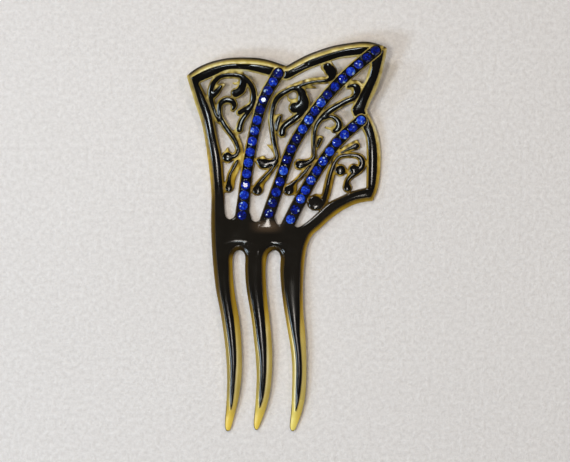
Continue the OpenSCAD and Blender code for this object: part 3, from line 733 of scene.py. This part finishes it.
def stone_places(node):
    """Plan point of each stone of a row, in order along it: the middle of each loose solid's
    points, put back to its girdle's middle, since it lies over that along the leaning axis."""
    points, triangles = node_mesh(node)
    solid = np.arange(len(points))
    edges = np.concatenate([triangles[:, [0, 1]], triangles[:, [1, 2]]])
    # Both ends of an edge take the lower of their numbers, until each solid has one number
    for _ in range(40):
        low = np.minimum(solid[edges[:, 0]], solid[edges[:, 1]])
        np.minimum.at(solid, edges[:, 0], low)
        np.minimum.at(solid, edges[:, 1], low)
    _, number, count = np.unique(solid, return_inverse=True, return_counts=True)
    x, y = (np.bincount(number, points[:, i]) / count for i in (0, 1))
    y = y + STONE_MEAN_H * np.sin(lean_at(y))
    places = x + 1j * y
    return places[np.argsort(-places.imag)]


def round_ring(radius, n, turn):
    """n plan points on a circle about 0, the first turned on by a share of their spacing."""
    return radius * np.exp(2j * np.pi * (np.arange(n) + turn) / n)


def faces_of(*numbers):
    """Faces from the numbers of their first corners, of their second corners, and so on."""
    return np.column_stack(np.broadcast_arrays(*numbers))


def cut_stone():
    """A round brilliant about its girdle: points as plan and height, and faces of crown, pavilion
    and foil. The first 32 points are the girdle's upper ring. Each crown main facet runs from a
    table corner to the girdle, so the points between two of them lie where its plane is. The table
    is parted as the facets below show through it, in eight kites round its middle and eight
    triangles along its edge."""
    table_r, table_h, heart_r = 0.86, 0.50, 0.38
    girdle_t, girdle_in, depth = 0.05, 0.03, 1.28
    bowl_r, foil_gap = 0.8, 0.12
    eighth = np.cos(np.pi / 8)
    mid_r = 0.60 * STONE_R + 0.40 * table_r
    mid_h = (STONE_R - mid_r * eighth) * table_h / (STONE_R - table_r)
    deep_r = 0.36 * STONE_R
    deep_h = -girdle_t - (depth - girdle_t) * (1 - deep_r * eighth / STONE_R)
    bowl_h = -0.5 * (girdle_t + depth + foil_gap)
    # Radius, number of points, turn and height of each ring. Those of one point are the culet, the
    # tip of the foil bowl and the middle of the table
    rings = ((STONE_R, 32, 0, 0), (table_r, 8, 0, table_h), (mid_r, 8, 0.5, mid_h),
             (STONE_R - girdle_in, 32, 0, -girdle_t), (deep_r, 8, 0.5, deep_h), (0, 1, 0, -depth),
             (bowl_r, 32, 0, bowl_h), (0, 1, 0, -depth - foil_gap),
             (heart_r, 8, 0.5, table_h), (0, 1, 0, table_h))
    plan = np.concatenate([round_ring(radius, n, turn) for radius, n, turn, _ in rings])
    h = np.concatenate([np.full(n, float(height)) for _, n, _, height in rings])
    starts = np.cumsum([n for _, n, _, _ in rings])
    table, mid, low, deep, culet, bowl, bowl_tip, heart, centre = starts[:-1]
    # Each eighth has five points of the girdle, g0 to g4
    j = np.arange(8)
    after, before = (j + 1) % 8, (j - 1) % 8
    g0, g1, g2, g3, g4 = ((4 * j + i) % 32 for i in range(5))
    crown = [faces_of(centre, heart + before, table + j, heart + j),
             faces_of(heart + j, table + j, table + after),
             faces_of(table + j, mid + j, table + after),
             faces_of(table + j, mid + before, g0, mid + j),
             np.concatenate([faces_of(mid + j, g0, g1, g2), faces_of(mid + j, g2, g3, g4)])]
    pavilion = [faces_of(culet, deep + j, low + g0, deep + before),
                np.concatenate([faces_of(deep + j, low + g2, low + g1, low + g0),
                                faces_of(deep + j, low + g4, low + g3, low + g2)])]
    i = np.arange(32)
    on = (i + 1) % 32
    backing = [faces_of(low + i, low + on, bowl + on, bowl + i),
               faces_of(bowl + i, bowl + on, bowl_tip)]
    return plan, h, crown, pavilion, backing


def ridge_outline(places):
    """Closed outline of the ridge that carries a row of stones: straight lines from stone to stone
    in twelve steps each, RIDGE_HALF to either side, with half circles round the ends. The line is
    worked out half a stone past each end, for its direction there."""
    steps = 12
    along = np.concatenate([[places[0] + 0.5 * (places[0] - places[1])], places,
                            [places[-1] + 0.5 * (places[-1] - places[-2])]])
    t = np.linspace(0, len(along) - 1, steps * (len(along) - 1) + 1)
    number = np.arange(len(along))
    mid = np.interp(t, number, along.real) + 1j * np.interp(t, number, along.imag)
    ahead = np.gradient(mid)
    side = 1j * ahead / abs(ahead)
    ahead = ahead / abs(ahead)
    mid, side, ahead = (part[steps:-steps] for part in (mid, side, ahead))
    cap = np.linspace(0, np.pi, 14)[1:-1]
    last_cap = side[-1] * np.cos(cap) + ahead[-1] * np.sin(cap)
    first_cap = -side[0] * np.cos(cap) - ahead[0] * np.sin(cap)
    return single(np.concatenate([mid + RIDGE_HALF * side, mid[-1] + RIDGE_HALF * last_cap,
                                  (mid - RIDGE_HALF * side)[::-1],
                                  mid[0] + RIDGE_HALF * first_cap]))


def set_stones(places, turns, tilt, shape, h):
    """Points in metres of a stone at each place, turned about its axis, then leaning: across the
    fork by the first tilt, and along it by the sheet's lean and the second tilt, so that it sits a
    little askew in its seat."""
    local = shape[None] * turns[:, None]
    x = places.real[:, None] + local.real - h * np.sin(tilt[0])[:, None]
    h = h + local.real * np.sin(tilt[0])[:, None]
    lean = lean_at(places.imag) + tilt[1]
    y = places.imag[:, None] + local.imag * np.cos(lean)[:, None] - h * np.sin(lean)[:, None]
    base = bent(places, np.full(len(places), STONE_H))[:, 2] / MM
    z = base[:, None] + local.imag * np.sin(lean)[:, None] + h * np.cos(lean)[:, None]
    return np.stack([x, y, z], axis=-1) * MM


def stone_row(node, name):
    """A row of stones fused to their setting: a low black ridge that follows the row, with a round
    hole for each stone, whose crown closes it above and whose pavilion and foil close a hollow
    below."""
    places = stone_places(node)
    outline = ridge_outline(places)
    turns = np.exp(2j * np.pi * rng.random(len(places)))
    tilt = np.radians(rng.uniform(-4, 4, (2, len(places))))
    shape, h, crown, pavilion, backing = cut_stone()
    holes = [place + shape[:32] * turn for place, turn in zip(places, turns)]
    top, top_faces = filled([outline] + holes, rings=(), grid=0.42)
    # The ridge rounds up from its edge over 0.5 mm, and is highest round the holes
    rise = 1 - (1 - np.minimum(distance(top, [outline]) / 0.5, 1)) ** 2
    top_h = RIDGE_EDGE_H + rise * (RIDGE_RISE - 0.6 * distance(top, holes, reach=0.6))
    low, low_faces = filled([outline], rings=(), grid=1.5)
    plan, ridge, faces = joined((top, top_h, top_faces),
                                (low, np.full(len(low), RIDGE_FOOT_H), low_faces),
                                walls([outline], RIDGE_EDGE_H, RIDGE_FOOT_H))
    # The ridge's points round each hole move to the stone's leaning girdle
    stones = set_stones(places, turns, tilt, shape, h)
    at_hole = np.flatnonzero(distance(top, holes) < 1e-4)
    match = abs(top[at_hole][:, None] - np.concatenate(holes)[None]).argmin(1)
    ridge[at_hole] = stones[:, :32].reshape(-1, 3)[match]
    start = len(plan) + len(shape) * np.arange(len(places))
    faces += [(f[None] + start[:, None, None]).reshape(-1, f.shape[1])
              for f in crown + pavilion + backing]
    # The ridge has the first material, black, the cut faces the second, glass, and the backs foil
    kinds = [0, 0] + [1] * (len(crown) + len(pavilion)) + [2] * len(backing)
    material_of = np.concatenate([np.full(len(f), kind) for f, kind in zip(faces, kinds)])
    smooth = np.isin(material_of, (0, 2))
    # Painted light: every stone has its own brightness and every facet differs from it, and a few
    # facets get a painted sparkle
    level = rng.choice(STONE_TONES, len(places))
    tone = [np.zeros(len(faces[0]) + len(faces[1]))]
    for f in crown + pavilion + backing:
        shade = level[:, None] + rng.normal(0, FACET_SPREAD, (len(places), len(f)))
        sparkles = rng.random(shade.shape) < SPARKLE_SHARE
        tone.append(np.where(sparkles, 1, np.clip(shade, 0, DULL_MOST)).ravel())
    points, faces, _ = welded(np.concatenate([ridge, stones.reshape(-1, 3)]), faces)
    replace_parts(piece(name, points, faces, [black, glass, foil], material_of,
                      smooth, {"tone": np.concatenate(tone)}, "FACE"), node)


for node in STONE_NODES:
    stone_row(node, node + "_set")


def floor():
    """A square of paper just under the fork, in metres."""
    half, z = 1.5, -5e-5
    mesh = bpy.data.meshes.new("paper")
    mesh.from_pydata([(-half, -half, z), (half, -half, z), (half, half, z), (-half, half, z)],
                     [], [(0, 1, 2, 3)])
    mesh.materials.append(paper_finish())
    thing = bpy.data.objects.new("paper", mesh)
    bpy.context.scene.collection.objects.link(thing)


def area_light(name, azimuth, zenith, far, size, bright, colour, mirrored=True):
    """A light that faces the fork, by its direction from the fork in degrees and its distance in
    metres, with its sides in metres, its radiance and its colour. One that isn't mirrored lights
    surfaces but leaves no highlight on them."""
    turn, lean = np.radians([azimuth, zenith])
    place = Vector((np.sin(lean) * np.cos(turn), np.sin(lean) * np.sin(turn), np.cos(lean))) * far
    light = bpy.data.lights.new(name, "AREA")
    light.shape, light.size, light.size_y = "RECTANGLE", *size
    light.energy, light.color = bright * np.pi * size[0] * size[1], colour
    thing = bpy.data.objects.new(name, light)
    bpy.context.scene.collection.objects.link(thing)
    thing.location = place
    thing.rotation_euler = place.to_track_quat("Z", "Y").to_euler()
    thing.visible_glossy = thing.visible_transmission = mirrored


floor()
# Name, azimuth, zenith, distance, sides, radiance and colour
area_light("lamp", 270, 5.4, 1.9, (0.12, 0.27), 15, (1.0, 0.94, 0.87))
area_light("skylight", 266, 16.7, 1.9, (0.13, 0.16), 22, (0.86, 0.96, 1.0))
area_light("window_left", 202, 42, 0.9, (0.16, 0.21), 23, (0.68, 0.85, 1.0))
area_light("window_back", 122, 38, 1.9, (0.30, 0.30), 22, (0.96, 0.94, 0.92))
area_light("lamp_right", 32, 32, 1.9, (0.26, 0.26), 17, (1.0, 0.90, 0.86), mirrored=False)
area_light("lamp_back", 90, 56, 1.9, (0.26, 0.26), 15, (1.0, 0.93, 0.70), mirrored=False)
area_light("window_side", 150, 56, 1.2, (0.14, 0.14), 29, (0.62, 0.80, 1.0), mirrored=False)
area_light("overhead", 176, 13, 1.0, (0.16, 0.16), 37, (1.0, 0.95, 0.82), mirrored=False)

world = bpy.data.worlds.new("room")
world.use_nodes = True
background = world.node_tree.nodes["Background"]
background.inputs["Color"].default_value = (1.0, 0.97, 0.94, 1)
background.inputs["Strength"].default_value = 0.07
bpy.context.scene.world = world
bpy.context.scene.view_settings.view_transform = "Standard"

# The camera looks straight down from HEIGHT metres. The picture is PICTURE_W pixels wide, and a
# pixel is PIXEL mm of the table
HEIGHT = 1.6
SENSOR_W = 36
PICTURE_W = 570
PIXEL = 0.375
camera = bpy.data.cameras.new("camera")
camera.sensor_width = SENSOR_W
camera.lens = SENSOR_W * HEIGHT / (PICTURE_W * PIXEL * MM)
camera.clip_end = 10
eye = bpy.data.objects.new("camera", camera)
eye.location = (-0.0006125, 0.002275, HEIGHT)
bpy.context.scene.collection.objects.link(eye)
bpy.context.scene.camera = eye
